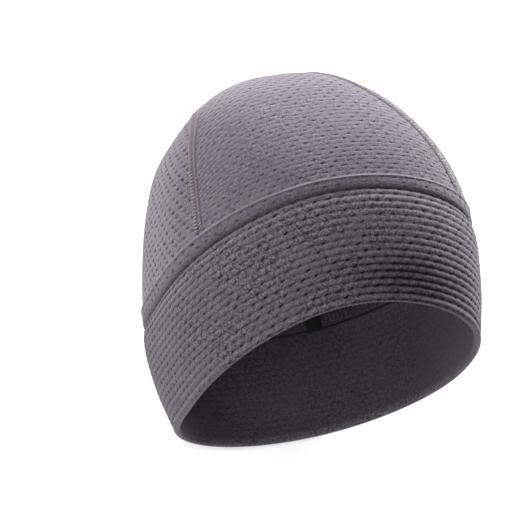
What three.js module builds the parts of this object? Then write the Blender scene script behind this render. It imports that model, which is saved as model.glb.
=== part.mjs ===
// A close-fitting knitted beanie that lies on its back, in millimetres with +Z up.
// Each piece is first shaped on an upright cap, where X runs across the cap from left to right,
// Y from its front to its back, and Z from the rim to the crown. The whole cap is then laid down.
import * as THREE from 'three';
import { mergeVertices } from 'three/addons/utils/BufferGeometryUtils.js';

// Outline of the upright cap.
const HALF_WIDTH = 78;
const HALF_DEPTH = 97.5;
const CROWN_HEIGHT = 150;
const WIDEST_HEIGHT = 46.5;
const RIM_TAPER = 0.077;
const TAPER_POWER = 1.6;
const DOME_POWER = 2.1;
const SQUARENESS_AT_RIM = 2.58;
const SQUARENESS_AT_CROWN = 2.72;

// How the worn cap departs from that outline.
const CROWN_LEAN_FORWARD = 9.6;
const CROWN_LEAN_LEFT = 4.9;
const SHOULDER_SHIFT = 0.05;
const SHOULDER_HEIGHT = 84;
const SHOULDER_SPREAD = 36;
const RIM_FRONT_RISE = 7.2;
const RIM_SIDE_DIP = 3.8;
const RIM_RIGHT_RISE = 1.4;
const RIM_CORNER_WAVE = 2.5;
const WAVE_FADE_HEIGHT = 67;
const WAVE_FADE_POWER = 1.5;

// Soft dents and swells of the crown: a place on the upright cap, how deep and how wide.
const DENTS = [
  { x: 50, y: 20, z: 134, depth: 2.6, spread: 26 },
  { x: -28, y: 10, z: 145, depth: 3.2, spread: 26 },
  { x: 74, y: 20, z: 98, depth: -1.8, spread: 24 },
  { x: -60, y: 10, z: 122, depth: -1.2, spread: 20 },
  { x: -66, y: -62, z: 84, depth: 1.2, spread: 18 },
];

// Knitted walls and the seams between them.
const BAND_HEIGHT = 54;
const BAND_WALL = 3.2;
const CROWN_WALL = 1.6;
const PIECE_GAP = 0.3;
const PANEL_HALF_WIDTH_AT_BAND = 64;
const PANEL_HALF_WIDTH_AT_TOP = 22;
const PANEL_TAPER_POWER = 2;
const PANEL_SWAY_LEFT = 8;
const SIDE_SEAM_WIDTH = 5;
const SIDE_SEAM_THICKNESS = 0.6;
const SIDE_SEAM_RISE = 0.45;
const ALLOWANCE_THICKNESS = 1.2;
const ALLOWANCE_GAP = 0.6;

// Relief of the band and of the crown's lower edge, as the height from the seam between them
// and how far the outer face stands out from the outline there.
const CROWN_EDGE_RELIEF = [
  { height: 0, out: -1.5 },
  { height: 1.4, out: 0.2 },
  { height: 3.2, out: 0.8 },
  { height: 8, out: 0.8 },
  { height: 10, out: 0 },
];
const BAND_RELIEF = [
  { height: 0, out: 0 },
  { height: 8, out: 0.2 },
  { height: 24, out: 0.8 },
  { height: 42, out: 0.9 },
  { height: 50, out: 0.3 },
  { height: 52.6, out: -0.6 },
  { height: 54, out: -2 },
];

// The blank loop label inside, by its place on the band seam at the back.
const LABEL_X = 24;
const LABEL_WIDTH = 8;
const LABEL_BOTTOM = 52.6;
const LABEL_TOP = 62;
const LABEL_THICKNESS = 0.6;

// How the cap lies: tipped back on the widest place of its back, which the floor flattens.
const REST_PITCH = THREE.MathUtils.degToRad(3.5);
const REST_DEPTH = 93;
const REST_SOFTNESS = 2.5;

// Fineness of the faces.
const PANEL_STEPS_ALONG = 36;
const FIRST_TURN = THREE.MathUtils.degToRad(10.5);
const PANEL_STEPS_ACROSS = 12;
const PANEL_EDGE_CLOSENESS = 0.5;
const SIDE_STEPS_UP = 11;
const RING_STEPS = 64;
const SEAM_STEPS_ACROSS = 2;
const FOLD_STEPS = 4;
const BAND_ROW_HEIGHTS = [5, 10, 18, 27, 36, 44, 49, 51.4, 52.8];
const LABEL_STEPS_UP = 4;
const LABEL_STEPS_ACROSS = 3;
const BISECTION_STEPS = 44;
const NORMAL_STEP = 0.01;

// Share of the full width and depth that the cap has at a height.
function fullness(z) {
  if (z < WIDEST_HEIGHT) {
    const drop = (WIDEST_HEIGHT - z) / WIDEST_HEIGHT;
    return 1 - RIM_TAPER * drop ** TAPER_POWER;
  }
  const rise = (z - WIDEST_HEIGHT) / (CROWN_HEIGHT - WIDEST_HEIGHT);
  return Math.max(1 - rise ** DOME_POWER, 0) ** (1 / DOME_POWER);
}

// Power of the rounded-square cross-section at a height, where 2 is an ellipse.
function squareness(z) {
  return THREE.MathUtils.lerp(SQUARENESS_AT_RIM, SQUARENESS_AT_CROWN, z / CROWN_HEIGHT);
}

// Negative inside the upright cap, zero on its outline and positive outside.
function outlineLevel(x, y, z) {
  const share = fullness(z);
  if (share <= 0) {
    return 1;
  }
  const power = squareness(z);
  const across = Math.abs(x / (HALF_WIDTH * share)) ** power;
  const along = Math.abs(y / (HALF_DEPTH * share)) ** power;
  return across + along - 1;
}

// Direction straight out of the outline at a point on it.
function outlineNormal(point) {
  const slope = (axis) => {
    const ahead = point.clone();
    const behind = point.clone();
    ahead[axis] += NORMAL_STEP;
    behind[axis] -= NORMAL_STEP;
    return outlineLevel(ahead.x, ahead.y, ahead.z) - outlineLevel(behind.x, behind.y, behind.z);
  };
  return new THREE.Vector3(slope('x'), slope('y'), slope('z')).normalize();
}

// Point of the outline at an angle round the cap and a height.
function ringPoint(angle, z) {
  const power = squareness(z);
  const across = Math.cos(angle);
  const along = Math.sin(angle);
  const reach = (Math.abs(across) ** power + Math.abs(along) ** power) ** (-1 / power);
  const share = fullness(z);
  return new THREE.Vector3(HALF_WIDTH * share * reach * across, HALF_DEPTH * share * reach * along, z);
}

// Share of the way from the band to the top of the crown.
function crownRise(z) {
  return THREE.MathUtils.clamp((z - BAND_HEIGHT) / (CROWN_HEIGHT - BAND_HEIGHT), 0, 1);
}

// Place across the cap of a share of the centre panel at a height. The share is -1 at the panel's
// left edge and 1 at its right one, and the panel lies a little to the left towards the top.
function acrossPanel(share, z) {
  const rise = crownRise(z);
  const taper = rise ** PANEL_TAPER_POWER;
  const halfWidth = THREE.MathUtils.lerp(PANEL_HALF_WIDTH_AT_BAND, PANEL_HALF_WIDTH_AT_TOP, taper);
  return share * halfWidth - PANEL_SWAY_LEFT * rise;
}

// Last point inside the outline on a line or curve that leads out of the cap.
function outlineAlong(pointAt) {
  let inside = 0;
  let outside = HALF_DEPTH + CROWN_HEIGHT;
  for (let step = 0; step < BISECTION_STEPS; step += 1) {
    const halfway = (inside + outside) / 2;
    const { x, y, z } = pointAt(halfway);
    if (outlineLevel(x, y, z) < 0) {
      inside = halfway;
    } else {
      outside = halfway;
    }
  }
  return pointAt(inside);
}

// Point of the crown's outline on an arc that runs from the front of the band seam, at turn 0,
// over the top to the back, at turn pi. The share is the place across the centre panel, and
// the margin moves the point sideways past the panel's edge.
function arcPoint(share, turn, margin = 0) {
  return outlineAlong((reach) => {
    const z = BAND_HEIGHT + reach * Math.sin(turn);
    return new THREE.Vector3(acrossPanel(share, z) + margin, -reach * Math.cos(turn), z);
  });
}

// Point of the crown's outline at a height above the band, at the front, where the end is -1,
// or at the back, where it is 1.
function edgePoint(share, end, height, margin = 0) {
  const z = BAND_HEIGHT + height;
  const x = acrossPanel(share, z) + margin;
  const power = squareness(z);
  const room = 1 - Math.abs(x / (HALF_WIDTH * fullness(z))) ** power;
  return new THREE.Vector3(x, end * HALF_DEPTH * fullness(z) * room ** (1 / power), z);
}

// Value of a relief table at a height, eased between its rows.
function reliefAt(table, height) {
  const last = table.at(-1);
  if (height >= last.height) {
    return last.out;
  }
  const next = table.findIndex((row) => row.height > height);
  const before = table[Math.max(next - 1, 0)];
  const after = table[next];
  const share = THREE.MathUtils.smoothstep(height, before.height, after.height);
  return THREE.MathUtils.lerp(before.out, after.out, share);
}

// How far the dents push a point of the upright cap inwards.
function dentAt(point) {
  return DENTS.reduce((sum, dent) => {
    const away = Math.hypot(point.x - dent.x, point.y - dent.y, point.z - dent.z) / dent.spread;
    return sum + dent.depth * Math.exp(-(away ** 2));
  }, 0);
}

// Height that the wavy rim adds at a point. It fades out above the band.
function rimWave(point) {
  const angle = Math.atan2(point.y / HALF_DEPTH, point.x / HALF_WIDTH);
  const fade = THREE.MathUtils.clamp(1 - (point.z - BAND_HEIGHT) / WAVE_FADE_HEIGHT, 0, 1);
  const wave =
    -RIM_FRONT_RISE * Math.sin(angle) -
    RIM_SIDE_DIP * Math.cos(2 * angle) +
    RIM_RIGHT_RISE * Math.cos(angle) +
    RIM_CORNER_WAVE * Math.sin(3 * angle);
  return wave * fade ** WAVE_FADE_POWER;
}

// The lower of a depth and a limit, rounded over where they meet.
function softLimit(depth, limit) {
  const share = THREE.MathUtils.clamp(0.5 + (limit - depth) / (2 * REST_SOFTNESS), 0, 1);
  return THREE.MathUtils.lerp(limit, depth, share) - REST_SOFTNESS * share * (1 - share);
}

// Moves a point of the upright outline out along its normal, gives it the worn cap's lean and
// waves, and flattens the back where it rests. The layer is how far under the outer face it is.
function wornPoint(base, out, layer) {
  const point = base.clone().addScaledVector(outlineNormal(base), out - dentAt(base));
  const rise = Math.max(base.z, 0) / CROWN_HEIGHT;
  const angle = Math.atan2(base.y / HALF_DEPTH, base.x / HALF_WIDTH);
  const shoulder = Math.exp(-(((base.z - SHOULDER_HEIGHT) / SHOULDER_SPREAD) ** 2));
  const wave = rimWave(base);
  point.x += SHOULDER_SHIFT * shoulder * Math.abs(base.x) * Math.cos(angle) ** 2;
  point.x -= CROWN_LEAN_LEFT * rise ** 2;
  point.y -= CROWN_LEAN_FORWARD * rise ** 2;
  point.z += wave;
  const depth = point.y * Math.cos(REST_PITCH) + point.z * Math.sin(REST_PITCH);
  const push = softLimit(depth, REST_DEPTH - layer) - depth;
  point.y += push * Math.cos(REST_PITCH);
  point.z += push * Math.sin(REST_PITCH);
  return point;
}

// Closed wall between an outer and an inner face, each a grid of points of the same size.
// A ring joins its last column to its first.
function wallGeometry(outer, inner, ring = false) {
  const columns = outer.length;
  const rows = outer[0].length;
  const positions = [...outer.flat(), ...inner.flat()].flatMap((point) => point.toArray());
  const innerStart = columns * rows;
  const at = (column, row) => (column % columns) * rows + row;
  const faces = [];
  const quad = (a, b, c, d) => faces.push(a, b, c, a, c, d);
  const spans = ring ? columns : columns - 1;
  for (let column = 0; column < spans; column += 1) {
    for (let row = 0; row < rows - 1; row += 1) {
      const corners = [
        at(column, row),
        at(column + 1, row),
        at(column + 1, row + 1),
        at(column, row + 1),
      ];
      quad(...corners);
      quad(...corners.reverse().map((corner) => corner + innerStart));
    }
    const low = [at(column, 0), at(column + 1, 0)];
    const high = [at(column + 1, rows - 1), at(column, rows - 1)];
    quad(low[1], low[0], low[0] + innerStart, low[1] + innerStart);
    quad(high[1], high[0], high[0] + innerStart, high[1] + innerStart);
  }
  if (!ring) {
    for (let row = 0; row < rows - 1; row += 1) {
      const first = [at(0, row), at(0, row + 1)];
      const last = [at(columns - 1, row + 1), at(columns - 1, row)];
      quad(first[0], first[1], first[1] + innerStart, first[0] + innerStart);
      quad(last[0], last[1], last[1] + innerStart, last[0] + innerStart);
    }
  }
  const geometry = new THREE.BufferGeometry();
  geometry.setAttribute('position', new THREE.Float32BufferAttribute(positions, 3));
  geometry.setIndex(faces);
  return withoutCollapsedFaces(mergeVertices(geometry));
}

// Drops the faces that have lost a corner where a wall runs out to a point.
function withoutCollapsedFaces(geometry) {
  const index = geometry.getIndex().array;
  const kept = [];
  for (let start = 0; start < index.length; start += 3) {
    const [a, b, c] = index.slice(start, start + 3);
    if (a !== b && b !== c && c !== a) {
      kept.push(a, b, c);
    }
  }
  geometry.setIndex(kept);
  geometry.computeVertexNormals();
  return geometry;
}

// Evenly spaced values from a start to an end, both included.
function evenly(start, end, steps) {
  return Array.from({ length: steps + 1 }, (_, step) => start + ((end - start) * step) / steps);
}

// Stations along the crown's arc from front to back, each a function that places a point.
function arcStations() {
  return evenly(FIRST_TURN, Math.PI - FIRST_TURN, PANEL_STEPS_ALONG).map(
    (turn) => (share, margin) => arcPoint(share, turn, margin),
  );
}

// The same stations and, before and after them, ones that are close together over the raised edge
// just above the band.
function crownStations() {
  const edge = (end) =>
    CROWN_EDGE_RELIEF.map(({ height }) => (share, margin) => edgePoint(share, end, height, margin));
  return [...edge(-1), ...arcStations(), ...edge(1).reverse()];
}

// Point on the crown's outer face, or a layer below it.
function crownSkin(base, layer) {
  const out = reliefAt(CROWN_EDGE_RELIEF, base.z - BAND_HEIGHT);
  return wornPoint(base, out - layer, layer);
}

// The wide panel from the front of the band over the top to the back. Its lines are closer
// together towards its edges, where the cap turns round to the sides.
function centrePanelGeometry() {
  const shares = evenly(-1, 1, PANEL_STEPS_ACROSS).map((step) =>
    THREE.MathUtils.lerp(step, Math.sin((step * Math.PI) / 2), PANEL_EDGE_CLOSENESS),
  );
  const grid = crownStations().map((place) =>
    shares.map((share) => place(share, (-share * PIECE_GAP) / 2)),
  );
  const outer = grid.map((line) => line.map((base) => crownSkin(base, 0)));
  const inner = grid.map((line) => line.map((base) => crownSkin(base, CROWN_WALL)));
  return wallGeometry(outer.reverse(), inner.reverse());
}

// A side panel: columns run from evenly spaced places on the band up to the arc of its seam. The
// first and the last follow the seam itself from the corner. The side is -1 or 1.
function sidePanelGeometry(side) {
  const margin = (side * PIECE_GAP) / 2;
  const stations = arcStations();
  const last = stations.length - 1;
  const front = edgePoint(side, -1, 0, margin).y;
  const back = edgePoint(side, 1, 0, margin).y;
  const columns = stations.map((place, number) => {
    const seam = place(side, margin);
    const foot = THREE.MathUtils.lerp(front, back, number / last);
    if (number === 0 || number === last) {
      return cornerColumn(side, Math.sign(foot), seam.z - BAND_HEIGHT, margin);
    }
    return sideColumn(side, foot, seam);
  });
  const outer = columns.map((line) => line.map((base) => crownSkin(base, 0)));
  const inner = columns.map((line) => line.map((base) => crownSkin(base, CROWN_WALL)));
  return side > 0 ? wallGeometry(outer, inner) : wallGeometry(outer.reverse(), inner.reverse());
}

// Heights above the band of a side panel's first rows, which follow the raised edge.
function edgeHeights(full) {
  return CROWN_EDGE_RELIEF.map(({ height }, step) =>
    Math.min(height, (full * step) / SIDE_STEPS_UP),
  );
}

// The column of a side panel that runs up the seam from its corner.
function cornerColumn(side, end, full, margin) {
  const low = edgeHeights(full);
  const high = evenly(low.at(-1), full, SIDE_STEPS_UP - low.length + 1).slice(1);
  return [...low, ...high].map((height) => edgePoint(side, end, height, margin));
}

// A column of a side panel, from its foot on the band round the side to the seam.
function sideColumn(side, foot, seam) {
  const low = edgeHeights(seam.z - BAND_HEIGHT);
  const yAt = (step) => THREE.MathUtils.lerp(foot, seam.y, step / SIDE_STEPS_UP);
  const lower = low.map((height, step) => sidePoint(side, yAt(step), BAND_HEIGHT + height));
  const liftOf = ({ x, z }) => Math.atan2(z - BAND_HEIGHT, Math.abs(x));
  const lifts = evenly(liftOf(lower.at(-1)), liftOf(seam), SIDE_STEPS_UP - low.length + 1).slice(1);
  const upper = lifts.map((lift, step) => sideArcPoint(side, yAt(low.length + step), lift));
  return [...lower, ...upper];
}

// Point of the outline at the side of the cap, at a depth and a height.
function sidePoint(side, y, z) {
  const power = squareness(z);
  const room = 1 - Math.abs(y / (HALF_DEPTH * fullness(z))) ** power;
  const reach = HALF_WIDTH * fullness(z) * Math.max(room, 0) ** (1 / power);
  return new THREE.Vector3(side * reach, y, z);
}

// Point of the outline at a depth and at an angle of lift from the band towards the top.
function sideArcPoint(side, y, lift) {
  return outlineAlong((reach) => {
    const z = BAND_HEIGHT + reach * Math.sin(lift);
    return new THREE.Vector3(side * reach * Math.cos(lift), y, z);
  });
}

// The flat seam that lies over the joint between the centre panel and a side panel.
function sideSeamGeometry(side) {
  const edges = evenly(-SIDE_SEAM_WIDTH / 2, SIDE_SEAM_WIDTH / 2, SEAM_STEPS_ACROSS);
  const first = CROWN_EDGE_RELIEF.length - 1;
  const grid = crownStations()
    .slice(first, -first)
    .map((place) => edges.map((margin) => place(side, margin)));
  const top = -SIDE_SEAM_RISE - SIDE_SEAM_THICKNESS;
  const outer = grid.map((line) => line.map((base) => crownSkin(base, top)));
  const inner = grid.map((line) => line.map((base) => crownSkin(base, -SIDE_SEAM_RISE)));
  return wallGeometry(outer.reverse(), inner.reverse());
}

// The doubled band. Its fold at the rim is a half circle as thick as the wall.
function bandGeometry() {
  const fold = BAND_WALL / 2;
  const foldRows = evenly(0, Math.PI / 2, FOLD_STEPS).map((turn) => ({
    z: fold * (1 - Math.cos(turn)),
    share: Math.sin(turn),
  }));
  const wallRows = [...BAND_ROW_HEIGHTS, BAND_HEIGHT - PIECE_GAP].map((z) => ({ z, share: 1 }));
  const rows = [...foldRows, ...wallRows];
  const face = (sign) =>
    evenly(0, 2 * Math.PI, RING_STEPS)
      .slice(0, -1)
      .map((angle) =>
        rows.map(({ z, share }) => {
          const layer = fold * (1 - sign * share);
          return wornPoint(ringPoint(angle, z), reliefAt(BAND_RELIEF, z) - layer, layer);
        }),
      );
  return wallGeometry(face(1), face(-1), true);
}

// The turned-up edge inside the crown.
function seamAllowanceGeometry() {
  const outerLayer = CROWN_WALL + ALLOWANCE_GAP;
  const rows = CROWN_EDGE_RELIEF.slice(1).map(({ height }) => BAND_HEIGHT + height);
  const face = (layer) =>
    evenly(0, 2 * Math.PI, RING_STEPS)
      .slice(0, -1)
      .map((angle) => rows.map((z) => crownSkin(ringPoint(angle, z), layer)));
  return wallGeometry(face(outerLayer), face(outerLayer + ALLOWANCE_THICKNESS), true);
}

// The blank loop label, which hangs over the band seam inside at the back.
function labelGeometry() {
  const outerLayer = CROWN_WALL + ALLOWANCE_GAP + ALLOWANCE_THICKNESS + PIECE_GAP;
  const heights = evenly(LABEL_BOTTOM, LABEL_TOP, LABEL_STEPS_UP);
  const face = (layer) =>
    evenly(LABEL_X + LABEL_WIDTH / 2, LABEL_X - LABEL_WIDTH / 2, LABEL_STEPS_ACROSS).map((x) =>
      heights.map((z) => wornPoint(ringPoint(Math.acos(x / HALF_WIDTH), z), -layer, layer)),
    );
  return wallGeometry(face(outerLayer), face(outerLayer + LABEL_THICKNESS));
}

// Named mesh with its own material.
function piece(name, geometry, color, roughness) {
  const material = new THREE.MeshStandardMaterial({ color, roughness, metalness: 0 });
  const mesh = new THREE.Mesh(geometry, material);
  mesh.name = name;
  return mesh;
}

const KNIT_MAUVE = 0x8b8290;
const BAND_MAUVE = 0x7c7381;
const INSIDE_MAUVE = 0x5b5062;
const THREAD_BROWN = 0x75686f;
const LABEL_DARK = 0x17151b;
const KNIT_ROUGHNESS = 0.95;
const THREAD_ROUGHNESS = 0.85;
const LABEL_ROUGHNESS = 0.7;

const cap = new THREE.Group();
cap.add(
  piece('crown_centre_panel', centrePanelGeometry(), KNIT_MAUVE, KNIT_ROUGHNESS),
  piece('crown_side_left', sidePanelGeometry(-1), KNIT_MAUVE, KNIT_ROUGHNESS),
  piece('crown_side_right', sidePanelGeometry(1), KNIT_MAUVE, KNIT_ROUGHNESS),
  piece('side_seam_left', sideSeamGeometry(-1), THREAD_BROWN, THREAD_ROUGHNESS),
  piece('side_seam_right', sideSeamGeometry(1), THREAD_BROWN, THREAD_ROUGHNESS),
  piece('band', bandGeometry(), BAND_MAUVE, KNIT_ROUGHNESS),
  piece('seam_allowance', seamAllowanceGeometry(), INSIDE_MAUVE, KNIT_ROUGHNESS),
  piece('inner_label', labelGeometry(), LABEL_DARK, LABEL_ROUGHNESS),
);

// The upright cap turns onto its back, and its box is centred over the origin.
cap.rotation.x = -Math.PI / 2 - REST_PITCH;
cap.updateMatrixWorld(true);
const box = new THREE.Box3().setFromObject(cap, true);
const middle = box.getCenter(new THREE.Vector3());
cap.position.set(-middle.x, -middle.y, -box.min.z);

const group = new THREE.Group();
group.add(cap);

export default group;
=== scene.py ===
"""A close-fitting knitted beanie that lies on its back on a pale floor.

Each piece is first shaped on an upright cap, in millimetres: X runs across the cap from left to
right, Y from its front to its back, and Z from the rim to the crown. The finished mesh is then laid
down into the frame of the part, in metres. Arrays of points hold X, Y and Z in their last axis.
"""

import logging
import math
from dataclasses import dataclass, replace
from enum import Enum
from functools import reduce
from typing import Callable, Sequence

import bmesh
import bpy
import numpy as np
from mathutils import Matrix, Vector


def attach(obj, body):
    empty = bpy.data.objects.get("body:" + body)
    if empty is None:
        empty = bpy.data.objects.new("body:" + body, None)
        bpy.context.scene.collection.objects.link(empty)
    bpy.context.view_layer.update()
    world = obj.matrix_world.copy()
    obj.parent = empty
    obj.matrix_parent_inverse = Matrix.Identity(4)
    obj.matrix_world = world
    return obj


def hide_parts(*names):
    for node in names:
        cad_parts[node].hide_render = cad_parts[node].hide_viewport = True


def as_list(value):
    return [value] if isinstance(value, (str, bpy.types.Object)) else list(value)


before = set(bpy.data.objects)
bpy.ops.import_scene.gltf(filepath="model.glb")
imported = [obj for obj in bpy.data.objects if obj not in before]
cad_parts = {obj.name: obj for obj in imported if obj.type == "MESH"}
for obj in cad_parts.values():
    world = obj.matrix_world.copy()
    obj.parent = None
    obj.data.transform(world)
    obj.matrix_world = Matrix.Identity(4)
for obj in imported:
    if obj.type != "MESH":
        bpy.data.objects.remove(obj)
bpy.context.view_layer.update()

MILLIMETRE = 0.001
MERGE_DISTANCE = 2e-6

Triple = tuple[float, float, float]
Table = tuple[tuple[float, float], ...]
Array = np.ndarray
Amount = np.ndarray | float
Material = bpy.types.Material
Object = bpy.types.Object
Socket = bpy.types.NodeSocket

log = logging.getLogger("beanie")


def blend(start: Amount, end: Amount, share: Amount) -> Amount:
    """Value that lies the given share of the way from start to end."""
    return start + (end - start) * share


def smooth_share(value: Array, low: float, high: float) -> Array:
    """Share that eases from 0 at low to 1 at high."""
    share = np.clip((value - low) / (high - low), 0, 1)
    return share * share * (3 - 2 * share)


def eased_table(rows: Table, place: Array) -> Array:
    """Value of a table at a place, eased between its rows.

    Args:
        rows: Pairs of a place and the value there, in rising order of place.
        place: Where the value is wanted.

    Returns:
        The values, held level before the first row and after the last.
    """
    value = np.full(np.shape(place), rows[0][1], dtype=float)
    for (low, before), (high, after) in zip(rows, rows[1:]):
        value += (after - before) * smooth_share(place, low, high)
    return value


def run_along(points: Array, axis: int = 0) -> Array:
    """Distance travelled along lines of points.

    Args:
        points: The points.
        axis: Axis that counts the points of one line.

    Returns:
        The distances, from 0 at the first point of each line.
    """
    steps = np.linalg.norm(np.diff(points, axis=axis), axis=-1)
    return np.insert(np.cumsum(steps, axis=axis), 0, 0.0, axis=axis)


def toward(turn: float, rise: float) -> Array:
    """Direction at an angle round the cap from its front, and one above level, in radians."""
    level = math.cos(rise)
    return np.array([math.sin(turn) * level, -math.cos(turn) * level, math.sin(rise)])


def placed(name: str, data: bpy.types.ID) -> Object:
    """Puts a mesh, a lamp or a camera into the scene.

    Args:
        name: Name of the object.
        data: The mesh, lamp or camera.

    Returns:
        The object, at the origin.
    """
    made = bpy.data.objects.new(name, data)
    bpy.context.scene.collection.objects.link(made)
    return made


@dataclass(frozen=True)
class Dent:
    """A soft hollow of the knitted surface, or a swell where its depth is negative."""

    x: float
    y: float
    z: float
    depth: float
    spread: float


@dataclass(frozen=True)
class CapShape:
    """The worn cap's outline, its panels' edges and the way that it lies."""

    half_width: float = 78.0
    half_depth: float = 97.5
    crown_height: float = 150.0
    widest_height: float = 46.5
    rim_taper: float = 0.077
    taper_power: float = 1.6
    dome_power: float = 2.1
    squareness_at_rim: float = 2.58
    squareness_at_crown: float = 2.72
    lean_forward: float = 9.6
    lean_left: float = 4.9
    shoulder_shift: float = 0.05
    shoulder_height: float = 84.0
    shoulder_spread: float = 36.0
    rim_front_rise: float = 7.2
    rim_side_dip: float = 3.8
    rim_right_rise: float = 1.4
    rim_corner_wave: float = 2.5
    wave_fade_height: float = 67.0
    wave_fade_power: float = 1.5
    band_height: float = 54.0
    panel_half_width_at_band: float = 64.0
    panel_half_width_at_top: float = 22.0
    panel_taper_power: float = 2.0
    panel_sway_left: float = 8.0
    rest_pitch: float = math.radians(3.5)
    rest_depth: float = 93.0
    rest_softness: float = 2.5
    rim_centre: Triple = (-1.0066, -69.6616, 93.0)
    slope_step: float = 0.01
    halvings: int = 40
    dents: tuple[Dent, ...] = (
        Dent(50, 20, 134, 2.6, 26),
        Dent(-28, 10, 145, 3.2, 26),
        Dent(74, 20, 98, -1.8, 24),
        Dent(-60, 10, 122, -1.2, 20),
        Dent(-66, -62, 84, 1.2, 18),
    )

    def fullness(self, z: Amount) -> Amount:
        """Share of the full width and depth that the cap has at a height.

        Args:
            z: Heights above the rim line.

        Returns:
            The shares, 1 at the widest height.
        """
        drop = np.clip((self.widest_height - z) / self.widest_height, 0, None)
        rise = (z - self.widest_height) / (self.crown_height - self.widest_height)
        dome = (1 - np.clip(rise, 0, 1) ** self.dome_power) ** (1 / self.dome_power)
        return np.maximum((1 - self.rim_taper * drop**self.taper_power) * dome, 1e-6)

    def squareness(self, z: Amount) -> Amount:
        """Power of the rounded-square cross-section at a height, where 2 is an ellipse."""
        return blend(self.squareness_at_rim, self.squareness_at_crown, z / self.crown_height)

    def level(self, x: Array, y: Array, z: Array) -> Array:
        """Negative inside the upright outline, zero on it and positive outside.

        Args:
            x: Places across the cap.
            y: Places from its front to its back.
            z: Heights.

        Returns:
            The level at each point.
        """
        share, power = self.fullness(z), self.squareness(z)
        across = np.abs(x / (self.half_width * share)) ** power
        along = np.abs(y / (self.half_depth * share)) ** power
        return np.where(z < self.crown_height, across + along - 1, 1.0)

    def normal(self, base: Array) -> Array:
        """Direction straight out of the outline at points on it.

        Args:
            base: Points of the outline.

        Returns:
            Unit vectors of the same shape.
        """
        steps = self.slope_step * np.eye(3)
        slope = [
            self.level(*np.moveaxis(base + s, -1, 0)) - self.level(*np.moveaxis(base - s, -1, 0))
            for s in steps
        ]
        slope = np.stack(slope, axis=-1)
        return slope / np.maximum(np.linalg.norm(slope, axis=-1, keepdims=True), 1e-12)

    def ring_point(self, angle: Array, z: Amount) -> Array:
        """Points of the outline at an angle round the cap and a height.

        Args:
            angle: Angles round the cap, from its right towards its back.
            z: Heights.

        Returns:
            The points.
        """
        power, share = self.squareness(z), self.fullness(z)
        across, along = np.cos(angle), np.sin(angle)
        reach = (np.abs(across) ** power + np.abs(along) ** power) ** (-1 / power)
        x = self.half_width * share * reach * across
        y = self.half_depth * share * reach * along
        return np.stack([x, y, z + 0 * x], axis=-1)

    def across_panel(self, share: Amount, z: Amount) -> Amount:
        """Place across the cap of a share of the centre panel at a height.

        Args:
            share: Share of the panel's half width, -1 at its left edge.
            z: Heights.

        Returns:
            The places, in millimetres.
        """
        rise = np.clip((z - self.band_height) / (self.crown_height - self.band_height), 0, 1)
        wide, narrow = self.panel_half_width_at_band, self.panel_half_width_at_top
        half_width = blend(wide, narrow, rise**self.panel_taper_power)
        return share * half_width - self.panel_sway_left * rise

    def along(self, point_at: Callable[[Array], Array], like: Array) -> Array:
        """Last points inside the outline on lines that lead out of the cap.

        Args:
            point_at: Gives the points at an array of distances along the lines.
            like: An array of the shape that the distances have.

        Returns:
            The points.
        """
        inside = np.zeros(like.shape)
        outside = np.full(like.shape, self.half_depth + self.crown_height)
        for _ in range(self.halvings):
            reach = (inside + outside) / 2
            within = self.level(*np.moveaxis(point_at(reach), -1, 0)) < 0
            inside, outside = np.where(within, reach, inside), np.where(within, outside, reach)
        return point_at(inside)

    def arc_point(self, share: Amount, turn: Array, margin: Amount = 0.0) -> Array:
        """Points of the crown on arcs from the front of the band, over the top, to the back.

        Args:
            share: Place across the centre panel, from -1 at its left edge to 1.
            turn: Angle along the arc, from 0 at the front to pi at the back.
            margin: How far the point is moved sideways past that place.

        Returns:
            The points.
        """
        share, turn = np.broadcast_arrays(share, turn)

        def point_at(reach: Array) -> Array:
            """Points at a distance along each arc's spoke."""
            z = self.band_height + reach * np.sin(turn)
            return np.stack([self.across_panel(share, z) + margin, -reach * np.cos(turn), z], -1)

        return self.along(point_at, turn)

    def side_arc_point(self, side: float, y: Array, lift: Array) -> Array:
        """Points of the outline at a depth and at an angle of lift from the band to the top.

        Args:
            side: -1 for the left, 1 for the right.
            y: Depths from the front to the back.
            lift: Angles above the top of the band, in radians.

        Returns:
            The points.
        """
        y, lift = np.broadcast_arrays(y, lift)

        def point_at(reach: Array) -> Array:
            """Points at a distance along each spoke."""
            z = self.band_height + reach * np.sin(lift)
            return np.stack([side * reach * np.cos(lift), y, z], -1)

        return self.along(point_at, lift)

    def wall_point(self, share: Amount, end: Amount, z: Amount) -> Array:
        """Points of the centre panel at a height, at the front or the back.

        Args:
            share: Place across the panel, -1 at its left edge.
            end: -1 for the front, 1 for the back.
            z: Heights.

        Returns:
            The points.
        """
        x = self.across_panel(share, z)
        power, fullness = self.squareness(z), self.fullness(z)
        room = np.clip(1 - np.abs(x / (self.half_width * fullness)) ** power, 0, 1)
        y = end * self.half_depth * fullness * room ** (1 / power)
        return np.stack([x, y, z + 0 * x], axis=-1)

    def side_point(self, side: float, y: Array, z: Amount) -> Array:
        """Points of the outline at the left or the right, at a depth and a height.

        Args:
            side: -1 for the left, 1 for the right.
            y: Depths from the front to the back.
            z: Heights.

        Returns:
            The points.
        """
        power, fullness = self.squareness(z), self.fullness(z)
        room = np.clip(1 - np.abs(y / (self.half_depth * fullness)) ** power, 0, 1)
        x = side * self.half_width * fullness * room ** (1 / power)
        return np.stack([x, y + 0 * x, z + 0 * x], axis=-1)

    def angle_of(self, base: Array) -> Array:
        """Angle round the cap of points of the outline."""
        return np.arctan2(base[..., 1] / self.half_depth, base[..., 0] / self.half_width)

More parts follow.
